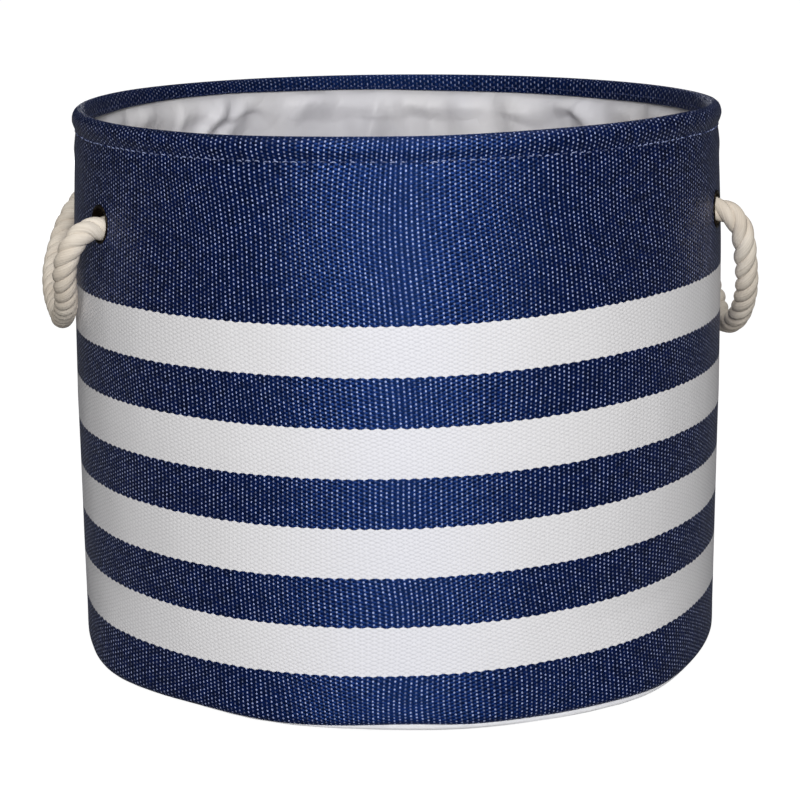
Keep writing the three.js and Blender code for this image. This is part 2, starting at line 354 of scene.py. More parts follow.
def weft_picks(m, warp, v):
    """Picks below the highest band's edge, the same from a pick's middle, the pick that shows
    and its yarn's height. A pick is wider over a warp thread and narrower under one.
    """
    unevenness = m.drawn_noise(warp, 0.35, v, 260.0)
    height = m.scaled(unevenness, PICK * PICK_UNEVENNESS, v)
    pick = m.math("DIVIDE", m.minus(BAND_TOP + PICK * PICK_UNEVENNESS / 2, height), PICK)
    centred = m.minus(pick, 0.5)
    below = m.math("FLOOR", centred)
    within = m.minus(centred, below)
    float_over = m.math("COSINE", m.times(m.plus(warp, below), math.pi))
    upper = m.math("GREATER_THAN", within, m.scaled(float_over, 0.27, 0.5))
    raised = m.times(float_over, m.scaled(upper, -2.0, 1.0))
    distance = m.math("ABSOLUTE", m.minus(within, upper))
    yarn = m.minus(m.scaled(raised, 0.5, 0.5), m.times(distance, distance))
    return pick, centred, m.plus(below, upper), yarn


def warp_dots(m, warp, centred):
    """Where a warp thread shows as a dot over a pick, and each dot's own brightness."""
    cells, offsets = [], []
    for operation in ("ADD", "SUBTRACT"):
        half = m.times(m.math(operation, warp, centred), 0.5)
        cells.append(m.math("FLOOR", half))
        offsets.append(m.minus(m.minus(half, cells[-1]), 0.5))
    across = m.math("DIVIDE", m.plus(*offsets), DOT_WIDTH)
    up = m.math("DIVIDE", m.minus(*offsets), DOT_HEIGHT)
    spread = m.plus(m.times(across, across), m.times(up, up))
    chance = m.node("ShaderNodeTexWhiteNoise", {0: m.combine(*cells)}).outputs["Value"]
    return m.step(spread, 0.45, 1.35, 1.0, 0.0), m.step(chance, 0.0, 1.0, 0.25, 1.0)


def white_bands(m, pick):
    """1 on the picks of the white bands and 0 on the navy ones."""
    in_bands = m.times(m.math("GREATER_THAN", pick, -0.5),
                       m.math("LESS_THAN", pick, (2 * BANDS - 1) * PICKS_IN_BAND - 0.5))
    stripe = m.math("LESS_THAN", m.math("FLOORED_MODULO", pick, 2 * PICKS_IN_BAND),
                    PICKS_IN_BAND - 0.5)
    return m.times(in_bands, stripe)


def woven_cloth():
    """Weft-faced plain weave: navy and white weft over thin pale warp threads."""
    m = Nodes("woven_cloth", Specular_IOR_Level=1.0, Specular_Tint=GLOSS, Anisotropic=0.8,
              Anisotropic_Rotation=0.25)
    u, v = m.cloth()
    wander = m.drawn_noise(u, 12.0, v, 9.0, 1.0)
    warp = m.scaled(v, WARP_LEAN, m.scaled(wander, WARP_WANDER, m.times(u, WARPS)))
    pick, centred, own, yarn = weft_picks(m, warp, v)
    dot, brightness = warp_dots(m, warp, centred)
    white = white_bands(m, own)
    # Painted shade: on the hem's turned-in side the dots and the weft are painted darker than the
    # same cloth outside.
    inside = m.step(v, RIM_TOP, RIM_TOP + 0.002)
    brightness = m.times(brightness, m.scaled(inside, -0.5, 1.0))

    streaks = m.drawn_noise(warp, 0.5, own, 0.22)
    navy = m.mix(m.step(streaks, 0.15, 0.85), NAVY, NAVY_LIGHT)
    # Painted shade: the weft is darker in the hollows between the yarns (much less on the white
    # bands), and darker again on the hem's turned-in side.
    shade = m.times(m.step(yarn, -0.3, 0.75, 0.08, 1.0), m.scaled(inside, -0.4, 1.0))
    shade = m.mix(m.times(white, 0.75), m.combine(shade, shade, shade), (1, 1, 1, 1))
    weft = m.node("ShaderNodeMix", {"Factor": 1.0, 6: m.mix(white, navy, WHITE), 7: shade},
                  data_type="RGBA", blend_type="MULTIPLY").outputs[2]
    colour = m.mix(m.times(dot, brightness), weft, m.mix(white, WARP_THREAD, WHITE))

    fibres = m.drawn_noise(warp, 0.8, pick, 5.0)
    height = m.scaled(fibres, 0.25, m.scaled(dot, 0.35, yarn))
    m.bump(m.times(height, m.scaled(white, -0.55, 1.0)), WEAVE_DEPTH)
    roughness = m.step(m.plus(white, inside), 0.0, 1.0, 0.43, 0.75)
    return m.set(Base_Color=colour, Roughness=roughness)


# ---- Ropes -----------------------------------------------------------

STRANDS = 3
STRAND_OFFSET = 0.00278  # a strand's middle from the rope's middle
STRAND_RADIUS = 0.00347
STRAND_WIDENING = 1.08  # a strand is pressed against its neighbours
STRAND_SIDES = 28
PATH_STEP = 0.001  # between the points of a rope's path

HINGE = (0.008, 0.003)  # standoff and drop of the bend outside an eyelet

# Each route, front eyelet to rear eyelet: degrees from the handle's middle, distance outside the
# wall, drop below the eyelets.
LEFT_ROUTE = (
    (-24, *HINGE), (-23.6, 0.0132, 0.008), (-22.9, 0.0162, 0.0155), (-21.6, 0.0164, 0.0245),
    (-19.4, 0.0136, 0.0349), (-16.1, 0.0106, 0.0441), (-11.4, 0.0084, 0.0516),
    (-6.1, 0.0077, 0.0576), (-0.6, 0.0077, 0.0604), (4.7, 0.0112, 0.0588), (9.6, 0.0162, 0.053),
    (14.2, 0.0202, 0.0434), (18.4, 0.0218, 0.0322), (21.5, 0.0212, 0.021), (23, 0.0176, 0.0118),
    (23.7, 0.0132, 0.006), (24, *HINGE),
)
RIGHT_ROUTE = (
    (-24, *HINGE), (-23.6, 0.012, 0.0085), (-22.9, 0.0138, 0.0165), (-21.2, 0.0142, 0.0274),
    (-18.4, 0.0145, 0.0408), (-14.3, 0.0133, 0.0544), (-9.4, 0.0116, 0.066),
    (-4.4, 0.0102, 0.0732), (0.4, 0.0101, 0.0758), (5, 0.012, 0.074), (9.6, 0.0156, 0.0669),
    (14.4, 0.018, 0.0546), (18.4, 0.0184, 0.0397), (21.3, 0.0171, 0.0264),
    (22.9, 0.0149, 0.0158), (23.6, 0.0123, 0.008), (24, *HINGE),
)


def cotton_rope():
    m = Nodes("cotton_rope", Roughness=0.9, Specular_IOR_Level=0.2)
    around, along = m.cloth()
    yarns = m.drawn_noise(around, 34.0, along, 60.0)
    fuzz = m.noise(m.place(), 900.0, 3.0)
    stains = m.noise(m.place(), 45.0, 3.0)
    pale = m.mix(m.step(stains, 0.3, 0.7), (0.69, 0.61, 0.51, 1), (0.80, 0.73, 0.63, 1))
    colour = m.mix(m.step(yarns, 0.62, 0.30, 0.0, 0.28), pale, (0.42, 0.35, 0.28, 1))
    m.bump(m.scaled(fuzz, 0.5, yarns), 0.0006, 0.8)
    return m.set(Base_Color=colour)


def moving_frames(path):
    """Two normals along a path, turning as little as they can."""
    tangents = np.gradient(path, axis=0)
    tangents /= np.linalg.norm(tangents, axis=1)[:, None]
    normal = np.cross(tangents[0], (0, 0, 1))
    if np.linalg.norm(normal) < 0.3:
        normal = np.cross(tangents[0], (0, 1, 0))
    normals = []
    for tangent in tangents:
        normal = normal - tangent * (normal @ tangent)
        normal /= np.linalg.norm(normal)
        normals.append(normal)
    normals = np.array(normals)
    return normals, np.cross(tangents, normals)


def rope_surface(path, lay, thickness=1.0):
    """Points, faces and cloth coordinates of three strands, turned once in each lay's length."""
    normals, sides = moving_frames(path)
    along = distances(path)
    around = np.arange(STRAND_SIDES) * 2 * math.pi / STRAND_SIDES
    thickness = np.broadcast_to(thickness, along.shape)[:, None]
    points, faces, uv = [], [], []
    rows = len(path)
    for strand in range(STRANDS):
        turn = (2 * math.pi * (along / lay + strand / STRANDS))[:, None]
        outwards = np.cos(turn) * normals + np.sin(turn) * sides
        middle = path + STRAND_OFFSET * thickness * outwards
        tangent = np.gradient(middle, axis=0)
        tangent /= np.linalg.norm(tangent, axis=1)[:, None]
        across = np.cross(tangent, outwards)
        across /= np.linalg.norm(across, axis=1)[:, None]
        outwards = np.cross(across, tangent)
        radius = (STRAND_RADIUS * thickness)[..., None]
        ring = (outwards[:, None] * np.cos(around)[None, :, None]
                + across[:, None] * np.sin(around)[None, :, None] * STRAND_WIDENING)
        tube, unrolled = grid_faces(rows, STRAND_SIDES)
        faces.append(tube + len(points) * rows * STRAND_SIDES)
        points.append((middle[:, None] + radius * ring).reshape(-1, 3))
        corners = np.arange(STRAND_SIDES + 1) / STRAND_SIDES + strand
        v, u = np.meshgrid(along, corners, indexing="ij")
        uv.append(np.stack([u, v], -1).reshape(-1, 2)[unrolled])
    return np.vstack(points), np.vstack(faces), np.vstack(uv)


def cap_ends(faces, rows):
    """Quads that close both ends of every strand, across its section."""
    caps = []
    for strand in range(STRANDS):
        for row, step in ((0, 1), (rows - 1, -1)):
            ring = (strand * rows + row) * STRAND_SIDES + np.arange(STRAND_SIDES)
            for k in range(STRAND_SIDES // 2 - 1):
                quad = [ring[k], ring[-k - 1], ring[-k - 2], ring[k + 1]]
                caps.append(quad[::step])
    return np.vstack([faces, caps])


def add_rope(name, path, lay, material, thickness=1.0):
    points, faces, uv = rope_surface(path, lay, thickness)
    closed = cap_ends(faces, len(path))
    flat = np.zeros((len(closed) - len(faces), 4, 2))
    return add_mesh(name, points, closed, material, np.concatenate([uv, flat]))


# Each handle's side, route, drop inside its eyelets and length of a strand's full turn.
HANDLES = (
    ("left", -1, LEFT_ROUTE, 0.0021, 0.0250),
    ("right", 1, RIGHT_ROUTE, -0.0003, 0.0325),
)
NECK = (-0.016, -0.008, 0.0)  # standoffs of the rope inside its eyelet

# A stopper knot is an overhand knot: a trefoil around the eyelet's axis, opened in its middle.
KNOT_STANDOFF = -0.0225
KNOT_RING, KNOT_SWING, KNOT_DEPTH = 0.0085, 0.0052, 0.0065
KNOT_OPENING = 0.35
KNOT_TIGHTNESS = 0.86
KNOT_LAY = 0.029
# The loose tail, from the knot's middle: inwards from the wall, upwards.
TAIL = ((0.0125, -0.0015), (0.0168, -0.0075), (0.0172, -0.017), (0.0160, -0.027), (0.0155, -0.036))


def add_knot(name, side, end, sag, material):
    """The knot and tail at one end of a rope, inside the basket."""
    middle = near_wall(side, end * EYELET_ANGLE, KNOT_STANDOFF, sag)
    neck = near_wall(side, end * EYELET_ANGLE, NECK[1], sag)
    inwards = (middle - neck).normalized()
    sideways = Vector((0, 0, 1)).cross(inwards)

    def local(depth, across, up):
        return middle + inwards * depth + sideways * across + Vector((0, 0, up))

    angles = np.linspace(math.pi / 3 + KNOT_OPENING, 7 * math.pi / 3 - KNOT_OPENING, 19)
    rings = KNOT_RING + KNOT_SWING * np.cos(3 * angles)
    loop = [local(-KNOT_DEPTH * math.sin(3 * a), r * math.cos(2 * a), r * math.sin(2 * a))
            for a, r in zip(angles, rings)]
    tail = [local(depth, 0, up) for depth, up in TAIL]
    path = catmull_rom([neck, local(-0.008, 0, 0), *loop, *tail], PATH_STEP)
    share = np.linspace(0, 1, len(path))
    thickness = np.interp(share, (0, 0.75, 0.9, 1), (KNOT_TIGHTNESS, KNOT_TIGHTNESS, 0.95, 1.1))
    knot = add_rope(f"{name}_knot", path, KNOT_LAY, material, thickness)
    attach(knot, "basket")
    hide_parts(f"{name}_rope_end")
    return knot


def add_handles(material):
    """Both handles: each one rope through its two eyelets, with a knot at both ends."""
    for name, side, route, sag, lay in HANDLES:
        necks = [[near_wall(side, end * EYELET_ANGLE, standoff, sag) for standoff in NECK]
                 for end in (-1, 1)]
        outside = [near_wall(side, *place) for place in route]
        path = catmull_rom(necks[0] + outside + necks[1][::-1], PATH_STEP)
        rope = add_rope(f"{name}_rope", path, lay, material)
        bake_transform(rope)
        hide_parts(f"{name}_handle_rope")
        knots = [add_knot(f"{name}_{end_name}", side, end, sag, material)
                 for end_name, end in (("front", -1), ("rear", 1))]


# ---- Holes and eyelets -----------------------------------------------

# Name, side and end of its handle.
EYELETS = (
    ("left_front", -1, -1), ("left_rear", -1, 1), ("right_front", 1, -1), ("right_rear", 1, 1),
)
EYELET_SEGMENTS = 72
CLOTH_HOLE = 0.0094
LEAN = math.atan2(0.0027, 0.059)  # the wall's lean at the eyelets
# Section of an eyelet as (radius, height above the cloth): flange, barrel, lip over the washer.
EYELET_SECTION = (
    (0.00850, -0.0056), (0.00865, -0.0061), (0.00920, -0.0064), (0.00990, -0.0063),
    (0.01030, -0.0059), (0.01020, -0.0055), (0.00930, -0.0054), (0.00920, -0.0045),
    (0.00920, 0.0001), (0.00990, 0.0001), (0.01015, 0.0003), (0.01010, 0.0006),
    (0.00980, 0.0009), (0.00940, 0.0010), (0.00900, 0.0009), (0.00865, 0.0006),
    (0.00850, 0.0000), (0.00848, -0.0027),
)
WASHER_SECTION = (
    (0.0095, -0.0052), (0.0097, -0.0053), (0.0111, -0.0053), (0.0113, -0.0051),
    (0.0113, -0.0045), (0.0111, -0.0043), (0.0095, -0.0043),
)


def eyelet_frame(side, end):
    """Middle and outward direction of an eyelet."""
    middle = near_wall(side, end * EYELET_ANGLE, 0, 0)
    outwards = Vector((middle.x, middle.y, 0)).normalized() * math.cos(LEAN)
    return middle, outwards + Vector((0, 0, math.sin(LEAN)))


def pierced(points, radius):
    """Points of a sheet moved out of the eyelet holes, and which of them lay inside one."""
    points, inside = points.copy(), np.zeros(points.shape[:2], bool)
    for _, side, end in EYELETS:
        middle, outwards = eyelet_frame(side, end)
        offset = points - np.array(middle)
        depth = offset @ np.array(outwards)
        across = offset - depth[..., None] * np.array(outwards)
        distance = np.linalg.norm(across, axis=-1)
        here = (distance < radius) & (np.abs(depth) < 0.03)
        grow = radius / np.maximum(distance, 1e-6) - 1
        points[here] += (across * grow[..., None])[here]
        inside |= here
    return points, inside


def add_turned(name, section, side, end, material):
    """A ring with this section around an eyelet's axis, bent to the wall."""
    middle, outwards = eyelet_frame(side, end)
    sideways = Vector((0, 0, 1)).cross(outwards).normalized()
    upwards = outwards.cross(sideways)
    angle = np.arange(EYELET_SEGMENTS) * 2 * math.pi / EYELET_SEGMENTS
    radius, height = np.array([*section, section[0]]).T
    across = radius[:, None] * np.cos(angle)
    up = radius[:, None] * np.sin(angle)
    out = height[:, None] - across ** 2 / (2 * wall_radius(EYELET_HEIGHT))
    points = (np.array(middle) + across[..., None] * np.array(sideways)
              + up[..., None] * np.array(upwards) + out[..., None] * np.array(outwards))
    faces, _ = grid_faces(len(radius), EYELET_SEGMENTS)
    faces = faces % ((len(radius) - 1) * EYELET_SEGMENTS)
    ring = add_mesh(name, points.reshape(-1, 3), faces, material)
    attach(ring, "basket")
    return ring


def antique_brass():
    m = Nodes("antique_brass", Metallic=1.0, Specular_IOR_Level=0.5)
    patina = m.noise(m.place(), 420.0, 4.0)
    colour = m.mix(m.step(patina, 0.35, 0.7), (0.016, 0.013, 0.010, 1), (0.075, 0.055, 0.034, 1))
    m.bump(m.noise(m.place(), 1500.0), 0.0001, 0.4)
    return m.set(Base_Color=colour, Roughness=m.step(patina, 0.3, 0.7, 0.55, 0.32))


def add_eyelets(material):
    for name, side, end in EYELETS:
        ring = add_turned(f"{name}_grommet", EYELET_SECTION, side, end, material)
        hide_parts(f"{name}_eyelet")
        disc = add_turned(f"{name}_washer", WASHER_SECTION, side, end, material)
        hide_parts(f"{name}_eyelet_washer")


# ---- Outer wall ------------------------------------------------------

WALL_COLUMNS = 960
PROFILE_STEP = 0.0017
SEAM_RIDGE, SEAM_HALF = 0.0009, 0.006  # the cloth overlaps itself at the back
FRONT_PULL = 0.0013
FOOT_BLEND = 0.018  # the uneven foot fades over this height
DENT_DEPTH, RIPPLE_DEPTH, PUCKER_DEPTH, FOOT_WAVE = 0.00055, 0.00012, 0.00016, 0.0002
DENTS = Wave(3, 2, 9, drift=18.0)
RIPPLES = Wave(5, 12, 40, drift=60.0)
HEM_PUCKERS = Wave(11, 60, 130)
FOOT_WAVES = Wave(8, 4, 22)


def slant(azimuth):
    """How far the askew cloth rises at an azimuth."""
    return SLANT * np.cos(azimuth - SLANT_AZIMUTH)


def front_pull(azimuth, height):
    """How much lower the highest band's upper edge is woven at the front."""
    off = wrapped(azimuth + math.pi / 2)
    return FRONT_PULL * np.exp(-(off / 0.45) ** 2) * np.clip((height - 0.13) / 0.08, 0, 1)


def wall_profile():
    """The cloth's outline from the base, up the wall, over the hoop and down inside."""
    middle = (WALL_RADIUS - CORNER_RADIUS, CORNER_TOP)
    corner = [(middle[0] + CORNER_RADIUS * math.cos(math.radians(a)),
               middle[1] + CORNER_RADIUS * math.sin(math.radians(a))) for a in range(-90, 1, 15)]
    wall = [(wall_radius(z) + 0.0003 * math.sin(math.pi * (z - 0.14) / 0.14), z)
            for z in np.linspace(0.02, 0.27, 26)]
    points = [Vector((r, z)) for r, z in [*corner, *wall, *HEM_OUTLINE]]
    return catmull_rom(points, PROFILE_STEP)


def foot_height(azimuth):
    """Height of the cloth's lower edge: it is sewn on unevenly and is highest at the front."""
    return (uneven(FOOT_HEIGHTS, azimuth) + uneven(EDGE_LIFTS, azimuth)
            + FOOT_WAVE * FOOT_WAVES(azimuth))


# Where the base bulges: azimuth and width in degrees, distance outwards.
BULGES = ((-156, 11, 0.0036), (-52.5, 13, 0.0052), (60, 25, 0.0014))


def bulge(azimuth):
    """How far the base reaches beyond a true circle."""
    total = 0.0
    for place, width, size in BULGES:
        off = (np.degrees(azimuth) - place + 180) % 360 - 180
        total = total + size * np.exp(-(off / width) ** 2)
    return total


def wall_heights(height, azimuth, inner):
    """The outline's heights with the uneven foot, rim and inner edge of the hem."""
    foot = foot_height(azimuth) - CORNER_LOW
    z = height + foot * np.clip(1 - (height - CORNER_LOW) / FOOT_BLEND, 0, 1)
    z = z - rim_drop(azimuth, height)
    return z - inner * uneven(HEM_DROPS, azimuth) * np.clip((0.2957 - height) / 0.004, 0, 1)


def wall_radii(radius, height, azimuth, z):
    """The outline's radii with bulges, dents, ripples, hem puckers and the back seam."""
    free = np.interp(height, (0.012, 0.06, 0.20, 0.275), (0, 1, 1, 0))
    near_hem = np.interp(height, (0.276, 0.2835, 0.2882, 0.295, 0.2975), (0, 1, 1, 0.5, 0))
    low = np.interp(height, (0.0, 0.05), (1, 0))
    from_seam = np.abs(wrapped(azimuth - math.pi / 2) * WALL_RADIUS)
    ridge = np.clip((SEAM_HALF + 0.001 - from_seam) / 0.002, 0, 1)
    return (radius + low * bulge(azimuth) + DENT_DEPTH * free * DENTS(azimuth, height)
            + RIPPLE_DEPTH * free * RIPPLES(azimuth, height)
            + PUCKER_DEPTH * near_hem * HEM_PUCKERS(azimuth)
            + SEAM_RIDGE * ridge * (z < 0.296) * (radius > 0.172))


def add_cloth_tube(name, points, v, material, order=1):
    """A tube of cloth with the eyelet holes cut. v is the height along the cloth."""
    rows, columns = points.shape[:2]
    points, inside = pierced(points, CLOTH_HOLE)
    faces, unrolled = grid_faces(rows, columns)
    whole = ~inside.reshape(-1)[faces].all(axis=1)
    turn = np.arange(columns + 1) / columns
    uv = np.stack(np.broadcast_arrays(turn[None, :], v), -1).reshape(-1, 2)[unrolled]
    tube = add_mesh(name, points.reshape(-1, 3), faces[whole][:, ::order], material,
                    uv[whole][:, ::order])
    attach(tube, "basket")
    return tube


def add_outer_wall(material):
    profile = wall_profile()
    azimuth = turns(WALL_COLUMNS)[None, :]
    radius, height = profile[:, :1], profile[:, 1:]
    run = distances(profile)
    run += 0.010 - np.interp(0.010, profile[:60, 1], run[:60])
    inner = np.arange(len(profile))[:, None] > np.argmax(profile[:, 1])
    z = wall_heights(height, azimuth, inner)
    points = ring_points(wall_radii(radius, height, azimuth, z), azimuth, z)

    around = math.pi / 2 + np.arange(WALL_COLUMNS + 1) / WALL_COLUMNS * 2 * math.pi
    v = run[:, None] - slant(around)[None, :] + front_pull(around[None, :], height)
    cloth = add_cloth_tube("outer_cloth", points, v, material)
    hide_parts("outer_wall")


# ---- Stitches --------------------------------------------------------

STITCH_LENGTH, STITCH_GAP, THREAD = 0.0035, 0.0012, 0.00031
STITCH_ARCH = Vector((0, 0, 0.0005))  # a pulled stitch is lower at both ends
STITCH_ROWS, THREAD_SIDES = 7, 6
# Rows of stitches around the hem as (radius, height).
OUTSIDE_ROW, INSIDE_ROW = (0.1745, STITCH_LINE), (0.1681, 0.2905)
SEAM_ROW_OFFSET = -0.0035
SEAM_ROW_ENDS = (0.016, 0.276)


def sewing_thread(name, light):
    """Thread that varies from stitch to stitch between navy and a lighter colour; on the outside
    hem row the lighter stitches are painted glints.
    """
    m = Nodes(name, Roughness=0.5, Specular_IOR_Level=0.4)
    patch = m.noise(m.place(), 210.0, 1.0)
    colour = m.mix(m.step(patch, 0.40, 0.56), (0.012, 0.022, 0.09, 1), light)
    m.bump(m.noise(m.place(), 4000.0), 0.0001, 0.5)
    return m.set(Base_Color=colour)


def stitch(start, end, outwards):
    """A short thread, sunk at both ends, as a closed tube of quads."""
    share = np.linspace(0, 1, STITCH_ROWS)
    arch = np.sin(math.pi * share)
    middle = start + np.outer(share, end - start) + np.outer(THREAD * (1.3 * arch - 0.9), outwards)
    middle += np.outer(arch, STITCH_ARCH)
    sideways = np.cross(end - start, outwards)
    sideways /= np.linalg.norm(sideways)
    angle = np.arange(THREAD_SIDES) * 2 * math.pi / THREAD_SIDES
    size = THREAD * (0.35 + 0.65 * arch ** 0.5)
    ring = np.cos(angle)[:, None] * outwards + np.sin(angle)[:, None] * sideways
    return (middle[:, None] + size[:, None, None] * ring[None]).reshape(-1, 3)


def add_stitches(name, stitches, material):
    """One piece made of many stitches, each (start, end, outwards)."""
    points = [stitch(*map(np.array, one)) for one in stitches]
    faces, _ = grid_faces(STITCH_ROWS, THREAD_SIDES)
    last = (STITCH_ROWS - 1) * THREAD_SIDES
    caps = np.array([(0, 3, 2, 1), (0, 5, 4, 3),
                     (last, last + 1, last + 2, last + 3), (last, last + 3, last + 4, last + 5)])
    one = np.vstack([faces, caps])
    faces = np.vstack([one + k * len(points[0]) for k in range(len(points))])
    piece = add_mesh(name, np.vstack(points), faces, material)
    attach(piece, "basket")


def hem_stitches(radius, height, outwards, seed):
    """A row of slightly uneven stitches around the basket."""
    random = np.random.default_rng(seed)
    count = round(2 * math.pi * radius / (STITCH_LENGTH + STITCH_GAP))
    row = []
    for k in range(count):
        turn = 2 * math.pi * (k + random.uniform(-0.08, 0.08)) / count
        half = STITCH_LENGTH / radius / 2 * random.uniform(0.8, 1.1)
        heights = height - rim_drop(turn, height) + random.uniform(-0.0003, 0.0003, 2)
        start, end = (Vector((radius * math.cos(a), radius * math.sin(a), h))
                      for a, h in zip((turn - half, turn + half), heights))
        row.append((start, end, Vector((math.cos(turn), math.sin(turn), 0)) * outwards))
    return row


def seam_stitches():
    """The row that closes the wall at the back, beside the overlap's edge."""
    azimuth = math.pi / 2 + SEAM_ROW_OFFSET / WALL_RADIUS
    outwards = Vector((math.cos(azimuth), math.sin(azimuth), 0))
    row = []
    for bottom in np.arange(*SEAM_ROW_ENDS, STITCH_LENGTH + STITCH_GAP):
        ends = []
        for height in (bottom, bottom + STITCH_LENGTH):
            ends.append(outwards * (wall_radius(height) + SEAM_RIDGE) + Vector((0, 0, height)))
        row.append((*ends, outwards))
    return row


def add_all_stitches():
    # Painted highlight: the light-blue stitches of this thread stand in for glints on a navy
    # thread.
    pale = sewing_thread("thread_painted_glints", (0.29, 0.34, 0.55, 1))
    navy = sewing_thread("navy_thread", (0.02, 0.035, 0.12, 1))
    add_stitches("hem_stitches_outside", hem_stitches(*OUTSIDE_ROW, 1, 21), pale)
    add_stitches("hem_stitches_inside", hem_stitches(*INSIDE_ROW, -1, 22), navy)
    add_stitches("back_seam_stitches", seam_stitches(), navy)


# ---- Lining ----------------------------------------------------------

LINING_COLUMNS = 720
LINING_INSET = 0.0036
LINING_FOOT = ((0.1708, 0.0058), (0.1713, 0.008), (0.1716, 0.012))  # (radius, height)
LINING_ROWS = ((0.016, 0.24, 80), (0.2412, 0.2930, 60))  # lowest, highest and number
FOLDS = Wave(31, 7, 34, drift=25.0)
FINE_FOLDS = Wave(37, 30, 95, drift=90.0)
ROLL = Wave(41, 3, 30)
STEPS = Wave(47, 4, 26)
CREASES = 30
LINING_RADIUS = 0.172  # to turn distances along the lining into angles
BIG_FOLD_LENGTH = 0.07
FOLD_DEPTH, FINE_DEPTH, CREASE_DEPTH, ROLL_DEPTH = 0.0014, 0.0004, 0.0042, 0.0044
# Folds that stand out, as (azimuth, lean in radians per metre, size, width in metres, sharpness).
BIG_FOLDS = (
    (1.51, 1.6, 2.3, 0.0140, 0.5), (2.02, 4.0, 1.3, 0.0080, 0.8), (2.12, 4.6, 1.3, 0.0075, 0.7),
    (1.20, -0.8, 1.2, 0.0130, 0.8), (1.02, -1.2, 1.4, 0.0140, 0.7), (0.72, -1.5, 1.2, 0.0130, 0.8),
)


def lining_satin():
    """Thin grey cloth with a soft shine, finely creased."""
    m = Nodes("lining_satin", Specular_IOR_Level=0.4)
    u, v = m.cloth()
    tint = m.noise(m.place(), 14.0, 2.0)
    pale = m.mix(m.step(tint, 0.3, 0.7), (0.615, 0.607, 0.636, 1), (0.69, 0.677, 0.685, 1))
    threads = m.drawn_noise(u, 3800.0, v, 500.0)
    slope = m.scaled(v, 34.0, m.times(u, 20.0))
    wander = m.noise(m.combine(m.times(u, 34.0), slope), 1.0)
    creases = m.math("ABSOLUTE", m.minus(wander, 0.5))
    m.bump(m.scaled(threads, 0.01, creases), 0.006, 0.45)
    return m.set(Base_Color=pale, Roughness=m.step(creases, 0.0, 0.3, 0.48, 0.60))


def crease(azimuth, below, place, lean, size, width, sharpness, length):
    """One upright fold, sharper on one side, that fades downwards."""
    off = wrapped(azimuth - place - lean * below) * LINING_RADIUS / width
    off = np.where(off > 0, off / sharpness, off)
    return size * np.exp(-off ** 2) * np.exp(-(np.maximum(below, 0) / length) ** 2)


def creases(azimuth, below):
    """All the upright folds, random small ones and the ones that stand out."""
    random = np.random.default_rng(43)
    total = 0.0
    for turn in np.arange(CREASES) * 2 * math.pi / CREASES:
        place = turn + random.uniform(-0.08, 0.08)
        lean, size = random.uniform(-1.6, 1.6), 0.85 * random.uniform(0.2, 1.0) ** 1.5
        width, sharpness = random.uniform(0.004, 0.011), random.uniform(0.3, 1.0)
        length = random.uniform(0.05, 0.2)
        total = total + crease(azimuth, below, place, lean, size, width, sharpness, length)
    for fold in BIG_FOLDS:
        total = total + crease(azimuth, below, *fold, BIG_FOLD_LENGTH)
    return total


def lining_inset(azimuth, height):
    """How far inside the wall the lining hangs, with its folds and the roll under the hem."""
    below = HEM_EDGE - uneven(HEM_DROPS, azimuth) - rim_drop(azimuth, HEM_EDGE) - height
    free = np.interp(below, (-0.002, 0.002, 0.016, 0.22, 0.268), (0, 0.25, 1, 1, 0.3))
    folds = np.clip(0.45 + 0.75 * FOLDS(azimuth, height), 0, None) ** 1.6
    fine = np.clip(FINE_FOLDS(azimuth, height), 0, None) ** 1.5
    share = np.clip(below / (0.0095 + 0.0032 * ROLL(azimuth)), 0, None)
    fall = 0.5 + 1.3 * np.clip(0.5 + 0.6 * STEPS(azimuth), 0, 1)
    roll = np.where(share < 1, np.sin(np.minimum(share, 1) * math.pi / 2),
                    0.5 + 0.5 * np.cos(math.pi * np.clip((share - 1) / fall, 0, 1)))
    soft = (FOLD_DEPTH * folds + FINE_DEPTH * fine + CREASE_DEPTH * creases(azimuth, below)) * free
    soft = soft + ROLL_DEPTH * np.clip(0.8 + 0.55 * FOLDS(azimuth, 0.1), 0.15, 1.3) * roll
    for _, side, end in EYELETS:
        middle = near_wall(side, end * EYELET_ANGLE, 0, 0)
        turn = wrapped(azimuth - math.atan2(middle.y, middle.x))
        distance = np.hypot(turn * LINING_RADIUS, height - EYELET_HEIGHT)
        soft = soft * np.interp(distance, (0.014, 0.04), (0, 1))
    return LINING_INSET + soft


def add_lining_wall(material):
    """The lining, seen from inside: from the floor seam up into the hem."""
    azimuth = turns(LINING_COLUMNS)[None, :]
    foot = np.array(LINING_FOOT)
    heights = np.concatenate([foot[:, 1], *(np.linspace(*rows) for rows in LINING_ROWS)])[:, None]
    wall = np.array([wall_radius(float(z)) for z in heights[:, 0]])[:, None]
    z = heights - rim_drop(azimuth, heights)
    inset = lining_inset(azimuth, z)
    tucked = np.interp(heights, (0.2895, 0.2925), (0, 0.0012))
    radius = wall - inset + tucked
    drawn_in = np.interp(heights, (0.012, 0.045), (0, 1))
    radius = radius * drawn_in + np.interp(heights, foot[:, 1], foot[:, 0]) * (1 - drawn_in)
    radius = np.minimum(radius, wall - LINING_INSET + tucked)
    lining = add_cloth_tube("lining_cloth", ring_points(radius, azimuth, z), heights, material,
                            order=-1)
    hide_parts("lining_wall")


# ---- Floor of the lining, and base -----------------------------------

DISC_COLUMNS = 150
LIFT_START, LIFT_WIDTH = 0.162, 0.013  # where a lifted edge begins, and the slope's width
FLOOR_SECTION = ((0, 0.0056), (0.12, 0.0057), (0.160, 0.0058), (0.166, 0.0060),
                 (0.1695, 0.0066), (0.1710, 0.0080))
PANEL_SECTION = ((0, 0.0), (0.10, 0.0), (0.1724, 0.0), (0.1749, 0.0002), (0.1766, 0.0007),
                 (0.1775, 0.0015), (0.1775, 0.0023), (0.1767, 0.0031), (0.1756, 0.0045))


